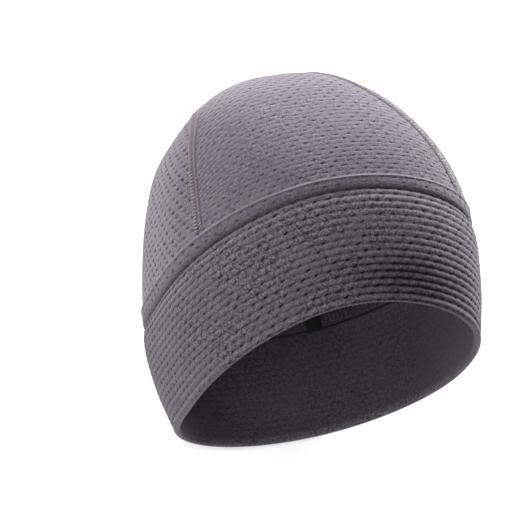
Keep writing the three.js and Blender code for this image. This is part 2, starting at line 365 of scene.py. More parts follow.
    def rim_wave(self, base: Array) -> Array:
        """Height that the wavy rim adds, which fades out above the band.

        Args:
            base: Points of the upright outline.

        Returns:
            The added heights, in millimetres.
        """
        angle = self.angle_of(base)
        fade = np.clip(1 - (base[..., 2] - self.band_height) / self.wave_fade_height, 0, 1)
        wave = (
            -self.rim_front_rise * np.sin(angle)
            - self.rim_side_dip * np.cos(2 * angle)
            + self.rim_right_rise * np.cos(angle)
            + self.rim_corner_wave * np.sin(3 * angle)
        )
        return wave * fade**self.wave_fade_power

    def soft_limit(self, depth: Array, limit: Amount) -> Array:
        """The lower of a depth and a limit, rounded over where they meet."""
        share = np.clip(0.5 + (limit - depth) / (2 * self.rest_softness), 0, 1)
        return blend(limit, depth, share) - self.rest_softness * share * (1 - share)

    def worn(self, base: Array, out: Array, layer: Amount) -> Array:
        """Moves points of the upright outline to where they lie on the worn cap.

        Args:
            base: Points of the outline, in the upright cap's millimetres.
            out: How far each point is moved out along the outline's normal.
            layer: How far each point lies under the outer face where the floor flattens it.

        Returns:
            The points in the part's frame, in metres.
        """
        dent = np.zeros(base.shape[:-1])
        for hollow in self.dents:
            away = np.linalg.norm(base - (hollow.x, hollow.y, hollow.z), axis=-1) / hollow.spread
            dent += hollow.depth * np.exp(-(away**2))
        point = base + self.normal(base) * (out - dent)[..., None]
        rise = np.maximum(base[..., 2], 0) / self.crown_height
        angle = self.angle_of(base)
        shoulder = np.exp(-(((base[..., 2] - self.shoulder_height) / self.shoulder_spread) ** 2))
        shift = self.shoulder_shift * shoulder * np.abs(base[..., 0]) * np.cos(angle) ** 2
        x = point[..., 0] + shift - self.lean_left * rise**2
        y = point[..., 1] - self.lean_forward * rise**2
        z = point[..., 2] + self.rim_wave(base)
        cosine, sine = math.cos(self.rest_pitch), math.sin(self.rest_pitch)
        depth = y * cosine + z * sine
        push = self.soft_limit(depth, self.rest_depth - layer) - depth
        return self.laid(np.stack([x, y + push * cosine, z + push * sine], axis=-1))

    def laid(self, point: Array) -> Array:
        """Turns points of the upright cap onto its back, in the part's frame and in metres.

        Args:
            point: Points in the upright cap's millimetres.

        Returns:
            The same points as the cap lies.
        """
        turn = -math.pi / 2 - self.rest_pitch
        x, y, z = np.moveaxis(point, -1, 0)
        lain_y = y * math.cos(turn) - z * math.sin(turn)
        lain_z = y * math.sin(turn) + z * math.cos(turn)
        return (np.stack([x, lain_y, lain_z], axis=-1) + self.rim_centre) * MILLIMETRE


@dataclass(frozen=True)
class KnitGauge:
    """Size of one knitted cell, and how finely the meshes follow it."""

    cell_width: float = 6.4
    row_height: float = 3.3
    fine_columns: tuple[float, ...] = (0.0, 0.08, 0.25, 0.42, 0.5, 0.58, 0.75, 0.92)
    plain_columns: tuple[float, ...] = (0.0, 0.13, 0.37, 0.5, 0.63, 0.87)
    fine_rows: tuple[float, ...] = (0.0, 0.13, 0.36, 0.64, 0.87)
    plain_rows: tuple[float, ...] = (0.0, 0.16, 0.5, 0.84)
    coarse_rows: tuple[float, ...] = (0.0, 0.5)
    ridge_lines: tuple[float, ...] = (-1.0, -0.55, -0.25, 0.0, 0.25, 0.6)
    least_step: float = 0.04
    line_decimals: int = 4

    def steps(self, first: float, last: float, phases: Sequence[float]) -> Array:
        """Places from first to last that keep to the same phases of every cell or row.

        Args:
            first: Lowest place, counted in cells or rows.
            last: Highest place.
            phases: Shares of a cell at which a place lies.

        Returns:
            The places in rising order, with first and last among them.
        """
        whole = np.arange(math.floor(first), math.ceil(last) + 1)
        places = (whole[:, None] + np.array(phases)[None]).ravel()
        keep = (places > first + self.least_step) & (places < last - self.least_step)
        return np.concatenate([[first], places[keep], [last]])

    def with_ridge(self, lines: Array, height: float) -> Array:
        """Adds close lines round a thin ridge, counted in rows from the band."""
        extra = (height + np.array(self.ridge_lines)) / self.row_height
        return np.unique(np.round(np.concatenate([lines, extra]), self.line_decimals))


@dataclass(frozen=True)
class KnitRelief:
    """Depths, in millimetres, of the hollows between the cells of a knitted face."""

    pit: float = 0.45
    groove: float = 0.06
    joint: float = 0.0
    swell: float = 0.0
    pit_length: float = 0.14
    pit_height: float = 0.16
    groove_height: float = 0.18
    joint_width: float = 0.07
    slant: float = 0.45
    unevenness: float = 0.7
    table_size: tuple[int, int] = (97, 61)
    seed: int = 5

    def strength(self, cell: Array, row: Array) -> Array:
        """How deep a cell's hollow is compared with the deepest, different for each cell.

        Args:
            cell: Numbers of the cells along their rows.
            row: Numbers of the rows.

        Returns:
            Shares, 1 for the deepest.
        """
        columns, lines = self.table_size
        table = np.random.default_rng(self.seed).random(self.table_size)
        drawn = table[np.round(cell).astype(int) % columns, np.round(row).astype(int) % lines]
        return 1 - self.unevenness * drawn

    def offset(self, u: Array, v: Array) -> Array:
        """How far a point of the face stands out, by its place in cells and rows.

        Args:
            u: Place along the rows, in cells.
            v: Place across the rows, in rows, where whole numbers lie between two rows.

        Returns:
            Offsets in millimetres, negative in the hollows.
        """
        line = np.round(v)
        from_line = v - line
        along = u + 0.5 * (line % 2)
        from_pit = along % 1 - 0.5
        row = np.floor(v)
        from_middle = v - row - 0.5
        shifted = u + 0.5 * (row % 2) - 0.5 * self.slant * from_middle
        from_joint = shifted - np.round(shifted)
        off_line = (from_line - self.slant * from_pit) / self.pit_height
        pit = np.exp(-((from_pit / self.pit_length) ** 2) - off_line**2)
        pit *= self.strength(np.floor(along), line)
        groove = np.exp(-((from_line / self.groove_height) ** 2))
        joint = np.exp(-((from_joint / self.joint_width) ** 2)) * (1 - (2 * from_middle) ** 2)
        joint *= self.strength(np.round(shifted), row)
        swell = 1 - (2 * from_middle) ** 2
        return self.swell * swell - self.pit * pit - self.groove * groove - self.joint * joint


class Graph:
    """A material, and the nodes that are added to its tree."""

    MIX_FIRST = 6
    MIX_SECOND = 7
    MIX_RESULT = 2

    def __init__(self, name: str) -> None:
        """Starts a material with an empty tree and the piece's own Object coordinates.

        Args:
            name: Name of the material.
        """
        self.material = bpy.data.materials.new(name)
        self.material.use_nodes = True
        self.tree = self.material.node_tree
        self.tree.nodes.clear()
        self.place = self.add("ShaderNodeTexCoord", {}, "Object")

    def add(
        self, kind: str, inputs: dict[int | str, object], output: int | str = 0, **settings: object
    ) -> Socket:
        """Adds a node.

        Args:
            kind: Kind of the node.
            inputs: Sockets or plain values for its inputs, by their name or number.
            output: Name or number of the output that is wanted.
            settings: The node's own properties.

        Returns:
            The wanted output.
        """
        made = self.tree.nodes.new(kind)
        for name, value in settings.items():
            setattr(made, name, value)
        for name, value in inputs.items():
            self.feed(made.inputs[name], value)
        return made.outputs[output]

    def feed(self, target: Socket, value: object) -> None:
        """Links a socket to a target, or sets the target to a plain value.

        Args:
            target: The input that is fed.
            value: A socket, a number, a colour or a vector.
        """
        if isinstance(value, Socket):
            self.tree.links.new(value, target)
        elif target.type == "RGBA":
            target.default_value = (*value, 1.0)
        else:
            target.default_value = value

    def finish(self, **inputs: object) -> Material:
        """Adds the shader and joins it to the output.

        Args:
            inputs: What the shader's inputs get, by their name with low lines for spaces.

        Returns:
            The finished material.
        """
        named = {name.replace("_", " "): value for name, value in inputs.items()}
        shader = self.add("ShaderNodeBsdfPrincipled", named)
        output = self.tree.nodes.new("ShaderNodeOutputMaterial")
        self.feed(output.inputs["Surface"], shader)
        return self.material

    def math(self, operation: str, *values: object, clamp: bool = False) -> Socket:
        """Result of a Math node, kept between 0 and 1 where it is clamped."""
        inputs = dict(enumerate(values))
        return self.add("ShaderNodeMath", inputs, operation=operation, use_clamp=clamp)

    def product(self, *values: object) -> Socket:
        """Product of sockets and numbers."""
        return reduce(lambda first, second: self.math("MULTIPLY", first, second), values)

    def less(self, value: object, part: object) -> Socket:
        """Value less a part."""
        return self.math("SUBTRACT", value, part)

    def bell(self, distance: Socket, width: float) -> Socket:
        """Falls from 1 at no distance towards 0 past a width."""
        ratio = self.math("DIVIDE", distance, width)
        return self.math("EXPONENT", self.product(self.math("POWER", ratio, 2.0), -1.0))

    def noise(self, place: Socket, scale: float, detail: float = 2.0) -> Socket:
        """Value of a noise texture at a place."""
        return self.add("ShaderNodeTexNoise", {"Vector": place, "Scale": scale, "Detail": detail})

    def drawn(self, cell: Socket, row: Socket) -> Socket:
        """Random number from 0 to 1 for a pair of whole numbers."""
        place = {"Vector": self.joined(cell, row)}
        return self.add("ShaderNodeTexWhiteNoise", place, "Value", noise_dimensions="2D")

    def stretched(self, place: Socket, scale: Triple) -> Socket:
        """A place with its coordinates scaled, each by its own factor."""
        return self.add("ShaderNodeMapping", {"Vector": place, "Scale": scale})

    def ramp(self, value: Socket, low: float, high: float) -> Socket:
        """Value eased from 0 at low to 1 at high."""
        inputs = {"Value": value, "From Min": low, "From Max": high}
        return self.add("ShaderNodeMapRange", inputs, interpolation_type="SMOOTHSTEP")

    def mix(self, share: object, first: object, second: object) -> Socket:
        """Colour that lies the given share of the way from the first to the second."""
        inputs = {0: share, self.MIX_FIRST: first, self.MIX_SECOND: second}
        return self.add("ShaderNodeMix", inputs, self.MIX_RESULT, data_type="RGBA")

    def joined(self, x: Socket, y: Socket) -> Socket:
        """A place made of two coordinates."""
        return self.add("ShaderNodeCombineXYZ", {"X": x, "Y": y})

    def shifted(self, u: Socket, row: Socket) -> Socket:
        """Place along a row, moved by half a cell in every other row."""
        odd = self.math("FLOORED_MODULO", row, 2.0)
        return self.math("MULTIPLY_ADD", odd, 0.5, u)

    def shaded(self, colour: Socket, amount: Socket) -> Socket:
        """Colour darkened by an amount from 0 to 1."""
        return self.mix(amount, colour, (0.0, 0.0, 0.0))

    def bump(self, height: Socket, distance: float) -> Socket:
        """Normal of a surface with a height, where a height of 1 is the distance in metres."""
        return self.add("ShaderNodeBump", {"Height": height, "Distance": distance})


@dataclass(frozen=True)
class WoolSurface:
    """How soft wool shines: the same sockets on every woollen finish."""

    roughness: float = 0.92
    specular: float = 0.18
    sheen: float = 0.12
    sheen_roughness: float = 0.35

    def finish(self, graph: Graph, colour: Socket, normal: Socket) -> Material:
        """Finishes a material with wool's shine.

        Args:
            graph: The material's graph.
            colour: Base colour.
            normal: Bumped normal.

        Returns:
            The finished material.
        """
        return graph.finish(
            Roughness=self.roughness,
            Specular_IOR_Level=self.specular,
            Sheen_Weight=self.sheen,
            Sheen_Roughness=self.sheen_roughness,
            Base_Color=colour,
            Normal=normal,
        )


@dataclass(frozen=True)
class KnitFinish:
    """Heathered merino with rows of cells, drawn on the piece's own map of cells and rows."""

    name: str
    light: Triple
    dark: Triple
    warm: Triple
    # Painted shade: the inner face is mixed toward this darker, more violet colour.
    inside: Triple = (0.026, 0.019, 0.034)
    # Darkening of pits, grooves and joints: partly the knit's dark gaps, partly painted shade of
    # the hollows.
    pit_shade: float = 0.9
    groove_shade: float = 0.12
    joint_shade: float = 0.0
    pit_length: float = 0.15
    pit_height: float = 0.15
    groove_height: float = 0.14
    groove_tone: tuple[float, float] = (0.7, 0.45)
    joint_width: float = 0.06
    joint_ends: tuple[float, float] = (0.45, 0.1)
    slant: float = 0.45
    unevenness: float = 0.75
    rows_start: float = -3.0
    rows_fade: float = 0.1
    inside_ends: float = -4.0
    inside_fade: float = 0.4
    inside_shade_share: float = 0.6
    inside_share: float = 0.3
    # Painted shade along the crease where the crown meets the band.
    crease_row: float = 0.0
    painted_crease_shade: float = 0.0
    crease_width: float = 0.45
    # Painted shadow: a soft dark patch round one cell and row, stronger along the grooves.
    shadow_cell: float = 0.0
    shadow_row: float = 0.0
    shadow_spread: tuple[float, float] = (6.0, 4.5)
    painted_shadow: float = 0.0
    shadow_groove_height: float = 0.3
    shadow_groove_share: float = 0.6
    # Painted highlight along the ridge of the turned edge.
    ridge_row: float = -9.0
    ridge_highlight: float = 0.0
    ridge_width: float = 0.1
    ridge_highlight_gain: float = 2.2
    ridge_highlight_breaks: tuple[float, float] = (0.3, 0.6)
    highlight_break_grain: float = 0.35
    fibre_grain: float = 1800.0
    tuft_grain: float = 800.0
    fibre_range: tuple[float, float] = (0.41, 0.59)
    blotch_grain: float = 55.0
    blotch_range: tuple[float, float] = (0.35, 0.7)
    blotch_share: float = 0.5
    patch_stretch: Triple = (0.8, 2.0, 1.0)
    patch_range: tuple[float, float] = (0.3, 0.7)
    loop_stretch: Triple = (11.0, 3.0, 1.0)
    yarn_bump: float = 0.5
    hollow_bump: float = 0.6
    bump_depth: float = 0.0006
    surface: WoolSurface = WoolSurface()

    def material(self) -> Material:
        """Builds the material.

        Returns:
            The finished material.
        """
        graph = Graph(self.name)
        cells = graph.add("ShaderNodeUVMap", {}, uv_map="cells")
        u, v = (graph.add("ShaderNodeSeparateXYZ", {0: cells}, axis) for axis in ("X", "Y"))
        fibre = graph.noise(graph.place, self.fibre_grain)
        tuft = graph.noise(graph.place, self.tuft_grain)
        grain = graph.math("MULTIPLY_ADD", tuft, 0.5, graph.product(fibre, 0.5))
        blotch = graph.ramp(graph.noise(graph.place, self.blotch_grain, 1.0), *self.blotch_range)
        wool = graph.mix(graph.ramp(grain, *self.fibre_range), self.dark, self.light)
        wool = graph.mix(graph.product(blotch, self.blotch_share), wool, self.warm)
        outside = graph.ramp(v, self.inside_ends, self.inside_ends + self.inside_fade)
        # Painted shade: the inner face is mixed toward the darker, more violet inside colour.
        wool = graph.mix(outside, graph.mix(self.inside_shade_share, wool, self.inside), wool)
        wool = self.ridge(graph, u, v, wool)
        shade = self.shade(graph, u, v, outside)
        normal = graph.bump(self.height(graph, cells, grain, shade), self.bump_depth)
        return self.surface.finish(graph, graph.shaded(wool, shade), normal)

    def ridge(self, graph: Graph, u: Socket, v: Socket, wool: Socket) -> Socket:
        """Paints a highlight along the ridge of the turned edge that presses through from inside.

        Args:
            graph: The material's graph.
            u: Place along the rows, in cells.
            v: Place across the rows, in rows.
            wool: Colour so far.

        Returns:
            The colour with the painted highlight on its ridge.
        """
        line = graph.bell(graph.less(v, self.ridge_row), self.ridge_width)
        # Noise breaks the painted highlight into patches.
        worn = graph.ramp(graph.noise(graph.joined(u, v), self.highlight_break_grain), *self.ridge_highlight_breaks)
        pale = tuple(min(1.0, self.ridge_highlight_gain * tone) for tone in self.light)
        return graph.mix(graph.product(line, worn, self.ridge_highlight), wool, pale)

    def shade(self, graph: Graph, u: Socket, v: Socket, outside: Socket) -> Socket:
        """How dark each point is painted: pits, grooves and joints, partly the knit's dark gaps and
        partly painted shade, then the painted crease shade and the painted shadow patch.

        Args:
            graph: The material's graph.
            u: Place along the rows, in cells.
            v: Place across the rows, in rows.
            outside: 1 on the face that shows when worn and 0 on the other.

        Returns:
            The share of the colour that is lost, from 0 to 1.
        """
        line = graph.math("ROUND", v)
        from_line = graph.less(v, line)
        along = graph.shifted(u, line)
        from_pit = graph.less(graph.math("FLOORED_MODULO", along, 1.0), 0.5)
        off_line = graph.less(from_line, graph.product(from_pit, self.slant))
        pit = graph.product(
            graph.bell(from_pit, self.pit_length),
            graph.bell(off_line, self.pit_height),
            self.strength(graph, graph.math("FLOOR", along), line),
        )
        patch = graph.noise(graph.stretched(graph.joined(u, v), self.patch_stretch), 1.0)
        patch = graph.math("MULTIPLY_ADD", graph.ramp(patch, *self.patch_range), *self.groove_tone)
        groove = graph.product(graph.bell(from_line, self.groove_height), patch)
        row = graph.math("FLOOR", v)
        from_middle = graph.less(graph.less(v, row), 0.5)
        shifted = graph.math("MULTIPLY_ADD", from_middle, -self.slant / 2, graph.shifted(u, row))
        nearest = graph.math("ROUND", shifted)
        joint = graph.product(
            graph.bell(graph.less(shifted, nearest), self.joint_width),
            self.strength(graph, nearest, row),
            graph.ramp(from_middle, *self.joint_ends),
        )
        # Pits, grooves and joints are darkened: partly the knit's dark gaps, partly painted shade
        # of the hollows.
        shade = graph.product(pit, self.pit_shade)
        shade = graph.math("MULTIPLY_ADD", groove, self.groove_shade, shade)
        shade = graph.math("MULTIPLY_ADD", joint, self.joint_shade, shade)
        inner = graph.product(graph.less(1.0, outside), self.inside_share)
        fade = (self.rows_start - self.rows_fade, self.rows_start + self.rows_fade)
        shade = graph.product(shade, graph.math("ADD", inner, graph.ramp(v, *fade)))
        # Painted shade in the crease between the crown and the band.
        edge = graph.bell(graph.less(v, self.crease_row), self.crease_width)
        shade = graph.math("MULTIPLY_ADD", edge, self.painted_crease_shade, shade)
        # Painted shadow: a soft dark patch on the band, darkest along the grooves between rows.
        shadow_grooves = graph.bell(from_line, self.shadow_groove_height)
        deep = graph.product(
            graph.bell(graph.less(u, self.shadow_cell), self.shadow_spread[0]),
            graph.bell(graph.less(v, self.shadow_row), self.shadow_spread[1]),
            graph.math("MULTIPLY_ADD", shadow_grooves, self.shadow_groove_share, 1 - self.shadow_groove_share),
        )
        return graph.math("MULTIPLY_ADD", deep, self.painted_shadow, shade, clamp=True)

    def strength(self, graph: Graph, cell: Socket, row: Socket) -> Socket:
        """How dark one cell's hollow is compared with the darkest, different for each cell."""
        return graph.math("MULTIPLY_ADD", graph.drawn(cell, row), -self.unevenness, 1.0)

    def height(self, graph: Graph, cells: Socket, fibre: Socket, shade: Socket) -> Socket:
        """Height of the yarn: fine loops across each row, loose fibres and the hollows.

        Args:
            graph: The material's graph.
            cells: The piece's map of cells and rows.
            fibre: Noise of the loose fibres.
            shade: How dark the point is painted, which also sinks it like a hollow.

        Returns:
            The height's socket.
        """
        loops = graph.noise(graph.stretched(cells, self.loop_stretch), 1.0)
        height = graph.product(loops, self.yarn_bump)
        height = graph.math("MULTIPLY_ADD", fibre, self.yarn_bump, height)
        return graph.less(height, graph.product(shade, self.hollow_bump))


@dataclass(frozen=True)
class ThreadFinish:
    """Twisted sewing thread in two close tones."""

    name: str
    light: Triple
    dark: Triple
    grain: float = 900.0
    tone_range: tuple[float, float] = (0.35, 0.65)
    bump_depth: float = 0.0003
    surface: WoolSurface = WoolSurface(roughness=0.8, specular=0.3, sheen=0.15)

    def material(self) -> Material:
        """Builds the material.

        Returns:
            The finished material.
        """
        graph = Graph(self.name)
        twist = graph.noise(graph.place, self.grain)
        colour = graph.mix(graph.ramp(twist, *self.tone_range), self.dark, self.light)
        return self.surface.finish(graph, colour, graph.bump(twist, self.bump_depth))


@dataclass(frozen=True)
class TapeFinish:
    """Tightly woven blank tape, with fine crossing threads."""

    name: str
    light: Triple
    dark: Triple
    thread_scale: float = 2600.0 / 6
    bump_depth: float = 0.0002
    surface: WoolSurface = WoolSurface(roughness=0.7, specular=0.3, sheen=0.1)

    def material(self) -> Material:
        """Builds the material.

        Returns:
            The finished material.
        """
        graph = Graph(self.name)
        inputs = {"Vector": graph.place, "Scale": self.thread_scale}
        waves = [
            graph.add("ShaderNodeTexWave", inputs, "Fac", wave_type="BANDS", bands_direction=way)
            for way in ("X", "Y")
        ]
        weave = graph.product(*waves)
        colour = graph.mix(weave, self.dark, self.light)
        return self.surface.finish(graph, colour, graph.bump(weave, self.bump_depth))


@dataclass(frozen=True)
class FloorFinish:
    """Plain pale paint with the faintest mottle."""

    name: str = "pale_floor"
    light: Triple = (0.92, 0.92, 0.92)
    dark: Triple = (0.90, 0.90, 0.90)
    mottle_grain: float = 3.0
    roughness: float = 0.9
    specular: float = 0.1

    def material(self) -> Material:
        """Builds the material.

        Returns:
            The finished material.
        """
        graph = Graph(self.name)
        colour = graph.mix(graph.noise(graph.place, self.mottle_grain), self.dark, self.light)
        return graph.finish(
            Roughness=self.roughness, Specular_IOR_Level=self.specular, Base_Color=colour
        )


class MeshMaker:
    """Makes the finished objects from grids that are bent into place, and from stitches."""

    @staticmethod
    def finished(shape: bmesh.types.BMesh, mesh: bpy.types.Mesh) -> Object:
        """Turns a shape into a smooth object that is named like its mesh.

        Args:
            shape: The shape, which is freed.
            mesh: The mesh that takes it up.

        Returns:
            The object.
        """
        for face in shape.faces:
            face.smooth = True
        shape.to_mesh(mesh)
        shape.free()
        return placed(mesh.name, mesh)

    @staticmethod
    def grid(name: str, u: Array, v: Array, points: Array) -> Object:
        """Bends a flat grid into place and maps it by cells and rows.

        Args:
            name: Name of the object.
            u: Values along the grid's columns, in cells.
            v: Values along its lines, in knitted rows.
            points: The points in metres, a line of them for each value of v.

        Returns:
            The object, its doubles merged and its faces pointing outwards.
        """
        mesh = bpy.data.meshes.new(name)
        flat = bmesh.new()
        across, up = len(u) - 1, len(v) - 1
        bmesh.ops.create_grid(flat, x_segments=across, y_segments=up, size=1.0, calc_uvs=False)
        flat.to_mesh(mesh)
        flat.free()
        corners = np.empty(len(mesh.vertices) * 3)
        mesh.vertices.foreach_get("co", corners)
        share = (corners.reshape(-1, 3) + 1) / 2
        column = np.rint(share[:, 0] * across).astype(int)
        line = np.rint(share[:, 1] * up).astype(int)
        mesh.vertices.foreach_set("co", points[line, column].ravel())
        used = np.empty(len(mesh.loops), dtype=np.int32)
        mesh.loops.foreach_get("vertex_index", used)
        cells = np.stack([u[column[used]], v[line[used]]], axis=-1)
        mesh.uv_layers.new(name="cells").data.foreach_set("uv", cells.ravel())
        closed = bmesh.new()
        closed.from_mesh(mesh)
        bmesh.ops.remove_doubles(closed, verts=closed.verts, dist=MERGE_DISTANCE)
        bmesh.ops.recalc_face_normals(closed, faces=closed.faces)
        return MeshMaker.finished(closed, mesh)

    @staticmethod
    def stitches(name: str, places: Sequence[Matrix]) -> Object:
        """Joins a field of small rounded stitches into one mesh.

        Args:
            name: Name of the object.
            places: Where each stitch lies, how it is turned and its half lengths.

        Returns:
            The object.
        """
        field = bmesh.new()
        for place in places:
            bmesh.ops.create_icosphere(field, subdivisions=1, radius=1.0, matrix=place)
        return MeshMaker.finished(field, bpy.data.meshes.new(name))

    @staticmethod
    def stitch_place(centre: Array, along: Array, out: Array, size: Triple) -> Matrix:
        """Placement of one stitch.

        Args:
            centre: Its middle, in metres.
            along: Direction of its length.
            out: Direction away from the cloth.
            size: Half its length, width and thickness, in millimetres.

        Returns:
            The matrix that a unit sphere is put through.
        """
        forward = Vector(along).normalized()
        side = Vector(out).cross(forward).normalized()
        up = forward.cross(side)
        turn = Matrix((forward, side, up)).transposed().to_4x4()
        scale = Matrix.Diagonal((*(s * MILLIMETRE for s in size), 1.0))
        return Matrix.Translation(Vector(centre)) @ turn @ scale


def dress(piece: Object, finish: Material, slot: str, *nodes: str) -> None:
    """Gives a piece its finish and its body, and hides the nodes of the frame that it replaces.

    Args:
        piece: The finished object.
        finish: Its material.
        slot: Not used.
        nodes: Nodes of the frame that the piece replaces.
    """
    piece.data.materials.append(finish)
    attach(piece, "root")
    if nodes:
        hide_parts(*nodes)
    log.info("%s: %d faces", piece.name, len(piece.data.polygons))


@dataclass
class Crown:
    """The wide centre panel and the two side panels."""

    shape: CapShape
    gauge: KnitGauge
    finish: Material
    side_finish: Material
    wall: float = 1.6
    side_cell_width: float = 8.4
    relief: KnitRelief = KnitRelief()
    side_relief: KnitRelief = KnitRelief(pit=0.6, pit_length=0.17, pit_height=0.2, slant=0.7)
    inner_relief: KnitRelief = KnitRelief(pit=0.1, groove=0.12)
    edge_gap: float = 0.02
    overreach: float = 1.2
    seam_starts: tuple[float, float] = (14.0, 20.0)
    level_lines_to: float = 11.0
    arc_lines_from: float = 38.0
    ridge_height: float = 8.0
    low_relief: Table = ((0.0, -0.9), (1.0, -0.3), (2.1, 0.3), (3.3, 0.5))
    ridge_relief: Table = ((7.3, 0.5), (8.0, 0.85), (8.4, 0.3), (11.0, 0.0))
    arc_samples: int = 800
    guide_samples: int = 81
    edge_samples: int = 600
    climb_samples: int = 90
    halvings: int = 30

    def skin(self, base: Array, knit: Amount, layer: Amount = 0.0) -> Array:
        """Places points on the crown's outer face or under it.

        Args:
            base: Points of the upright outline.
            knit: How far each stands out from the face.
            layer: Depth of each point under the outer face.

        Returns:
            The points in the part's frame, in metres.
        """
        relief = (*self.low_relief, *self.ridge_relief)
        raised = eased_table(relief, base[..., 2] - self.shape.band_height)
        return self.shape.worn(base, raised + knit - layer, layer)

    def centre_line(self) -> tuple[Array, Array]:
        """The arc over the middle of the cap.

        Returns:
            Length along it from the front of the band, and its points.
        """
        front = np.linspace(0, math.pi / 2, self.arc_samples)
        turn = np.concatenate([front, math.pi - front[-2::-1]])
        points = self.shape.arc_point(0.0, turn)
        return run_along(points), points

    def line_points(self, share: Array, middle: Array) -> Array:
        """Points along knitted rows of the centre panel.

        Near the band a row keeps its height, and higher up it follows the arc of its middle.

        Args:
            share: Places across the panel, one row of them for each knitted line.
            middle: Where each line crosses the middle of the panel.

        Returns:
            The points of the upright outline.
        """
        end = np.sign(middle[:, 1])[:, None]
        rise = (middle[:, 2] - self.shape.band_height)[:, None]
        turn = np.arctan2(rise, -middle[:, 1][:, None])
        arcs = self.shape.arc_point(share, turn + 0 * share)
        curved = smooth_share(rise, self.level_lines_to, self.arc_lines_from)
        z = blend(self.shape.band_height + rise, arcs[..., 2], curved)
        walls = self.shape.wall_point(share, end, z)
        return np.where((rise < self.arc_lines_from)[..., None], walls, arcs)

    def centre_base(self, u: Array, v: Array) -> Array:
        """Points of the centre panel at places in cells and rows.

        Args:
            u: Cells from the middle of the panel, for each column.
            v: Rows from the front of the band, for each line.

        Returns:
            The points, a line of them for each row, kept within the panel's edges.
        """
        length, points = self.centre_line()
        along = np.clip(v * self.gauge.row_height, 0, length[-1])
        middle = np.stack([np.interp(along, length, points[:, axis]) for axis in range(3)], axis=-1)
        coarse = np.linspace(-1, 1, self.guide_samples)
        guide = self.line_points(np.tile(coarse, (len(v), 1)), middle)
        run = run_along(guide, axis=1)
        run -= run[:, [len(coarse) // 2]]
        wanted = u * self.gauge.cell_width
        limit = 1 - self.edge_gap / self.shape.panel_half_width_at_band
        share = np.stack([np.interp(wanted, line, coarse) for line in run])
        return self.line_points(np.clip(share, -limit, limit), middle)

    def shell(
        self,
        name: str,
        u: Array,
        v: Array,
        base: Callable[[Array, Array], Array],
        relief: KnitRelief,
    ) -> Object:
        """Closes an outer and an inner face into one panel with rounded edges.

        Args:
            name: Name of the object.
            u: Columns in cells, the outermost beyond the panel's edges.
            v: Lines in rows, from one end of the panel to the other.
            base: Gives the points of the outline for columns and lines.
            relief: Relief of the outer face.

        Returns:
            The panel's object.
        """
        inner_v = self.gauge.steps(v[0], v[-1], self.gauge.coarse_rows)[::-1]
        outer, inner = base(u, v), base(u, inner_v)
        middle = self.wall / 2
        outer_knit = relief.offset(u[None], v[:, None])
        inner_knit = self.inner_relief.offset(u[None], inner_v[:, None])
        outer_layer = np.zeros(outer.shape[:2])
        inner_layer = np.full(inner.shape[:2], self.wall)
        covered = smooth_share(outer[..., 2] - self.shape.band_height, *self.seam_starts)
        for layer, knit in ((outer_layer, outer_knit), (inner_layer, inner_knit)):
            layer[[0, -1]] = middle
            layer[:, [0, -1]] = middle
            knit[[0, -1]] = 0
            knit[:, [0, -1]] = 0
        outer_layer[1:-1, [0, -1]] *= covered[1:-1, [0, -1]]
        front = self.skin(outer, outer_knit, outer_layer)
        back = self.skin(inner, -inner_knit, inner_layer)[1:]
        lines = np.concatenate([v, inner_v[1:]])
        return MeshMaker.grid(name, u, lines, np.concatenate([front, back]))

    def centre_panel(self) -> Object:
        """Builds the centre panel.

        Returns:
            The panel's object.
        """
        reach = self.shape.panel_half_width_at_band * self.overreach
        cells = math.ceil(reach / self.gauge.cell_width)
        u = self.gauge.steps(-cells, cells, self.gauge.plain_columns)
        length, _ = self.centre_line()
        v = self.gauge.steps(0, length[-1] / self.gauge.row_height, self.gauge.plain_rows)
        v = self.gauge.with_ridge(v, self.ridge_height)
        return self.shell("crown_centre_knit", u, v, self.centre_base, self.relief)

    def seam_lifts(self, side: float, y: Array) -> Array:
        """Lift at which a side panel's columns meet the seam.

        Args:
            side: -1 for the left panel, 1 for the right.
            y: Depth of each column.

        Returns:
            The angles of lift from the band.
        """
        low, high = np.zeros(y.shape), np.full(y.shape, math.pi / 2)
        for _ in range(self.halvings):
            lift = (low + high) / 2
            x, _, z = np.moveaxis(self.shape.side_arc_point(side, y, lift), -1, 0)
            edge = self.shape.across_panel(side, z) + side * self.edge_gap
            outside = side * (x - edge) > 0
            low, high = np.where(outside, lift, low), np.where(outside, high, lift)
        return low

    def side_panel(self, side: float) -> Object:
        """Builds a side panel, whose rows run level with the band.

        Args:
            side: -1 for the left panel, 1 for the right.

        Returns:
            The panel's object.
        """
        band = self.shape.band_height
        reach = self.shape.wall_point(side, 1.0, band)[1] - self.edge_gap
        y = np.linspace(-reach, reach, self.edge_samples)
        run = run_along(self.shape.side_point(side, y, band))
        run -= run[-1] / 2
        half = run[-1] / self.side_cell_width
        u = self.gauge.steps(-half, half, self.gauge.fine_columns)
        depth = np.interp(u * self.side_cell_width, run, y)
        share = np.linspace(0, 1, self.climb_samples)
        lift = share[:, None] * self.seam_lifts(side, depth)
        climb = self.shape.side_arc_point(side, depth[None], lift)
        risen, row = run_along(climb), self.gauge.row_height
        v = self.gauge.steps(0, risen[-1].max() / row, self.gauge.fine_rows)
        v = self.gauge.with_ridge(v, self.ridge_height)

        def base(columns: Array, lines: Array) -> Array:
            """Points of the outline, with columns that run up the side as far as the seam."""
            lifts = [np.interp(lines * row, risen[:, i], lift[:, i]) for i in range(len(columns))]
            return self.shape.side_arc_point(side, depth[None], np.stack(lifts, axis=1))

        name = "crown_left_knit" if side < 0 else "crown_right_knit"
        return self.shell(name, u, v, base, self.side_relief)

    def build(self) -> None:
        """Builds and dresses the three panels."""
        dress(self.centre_panel(), self.finish, "crown_knit", "crown_centre_panel")
        dress(self.side_panel(-1), self.side_finish, "crown_knit", "crown_side_left")
        dress(self.side_panel(1), self.side_finish, "crown_knit", "crown_side_right")


